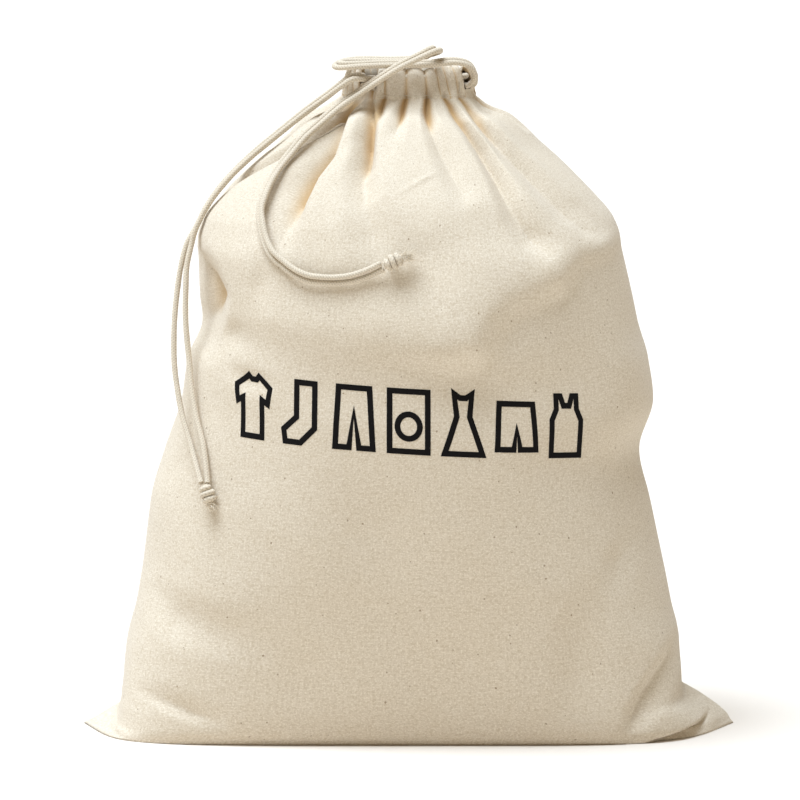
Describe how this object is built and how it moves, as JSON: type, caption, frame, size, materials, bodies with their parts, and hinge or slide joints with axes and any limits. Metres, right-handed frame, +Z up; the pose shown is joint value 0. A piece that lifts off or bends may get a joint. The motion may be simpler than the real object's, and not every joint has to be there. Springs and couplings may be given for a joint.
{
  "type": "drawstring laundry bag",
  "caption": "Large calico drawstring bag, filled and standing on its base, with its mouth drawn in by two cords that leave it on opposite sides as knotted pairs.",
  "frame": {"origin": "centre of the base on the surface that the bag stands on", "axes": "+Z up towards the mouth, -Y towards the printed front, +X towards the bag's right as seen from the front"},
  "size_m": [0.5739, 0.3161, 0.6049],
  "materials": {
    "calico": "undyed cotton canvas with a faint plain weave and small brown seed flecks",
    "seam_allowance": "raw folded edge of the same calico",
    "cotton_cord": "matte twisted cotton cord",
    "sewing_thread": "matte cream thread",
    "print_ink": "matte black ink soaked into the weave"
  },
  "bodies": {
    "bag": {"front_panel": "calico", "back_panel": "calico", "front_casing": "calico", "left_side_seam": "seam_allowance", "right_side_seam": "seam_allowance", "bottom_seam": "seam_allowance", "front_casing_stitch": "sewing_thread", "left_bar_tack": "sewing_thread", "right_bar_tack": "sewing_thread", "left_cord_front_run": "cotton_cord", "right_cord_front_run": "cotton_cord", "left_pull_front_upper": "cotton_cord", "left_pull_rear_upper": "cotton_cord", "right_pull_front_upper": "cotton_cord", "right_pull_rear_upper": "cotton_cord"},
    "mouth_back": {"back_casing": "calico", "back_casing_stitch": "sewing_thread", "left_cord_back_run": "cotton_cord", "right_cord_back_run": "cotton_cord"},
    "left_pull": {"left_pull_front_lower": "cotton_cord", "left_pull_rear_lower": "cotton_cord", "left_knot": "cotton_cord"},
    "right_pull": {"right_pull_front_lower": "cotton_cord", "right_pull_rear_lower": "cotton_cord", "right_knot": "cotton_cord"}
  },
  "joints": [
    {"name": "mouth_back_open", "type": "slide", "parent": "bag", "child": "mouth_back", "axis": [0, 1, 0], "range_m": [0, 0.05]},
    {"name": "left_pull_swing", "type": "hinge", "parent": "bag", "child": "left_pull", "pos_m": [-0.192, -0.024, 0.43], "axis": [-0.7071, 0.7071, 0], "range_deg": [0, 45]},
    {"name": "right_pull_lift", "type": "hinge", "parent": "bag", "child": "right_pull", "pos_m": [-0.042, -0.034, 0.565], "axis": [-1, 0, 0], "range_deg": [0, 45]}
  ]
}
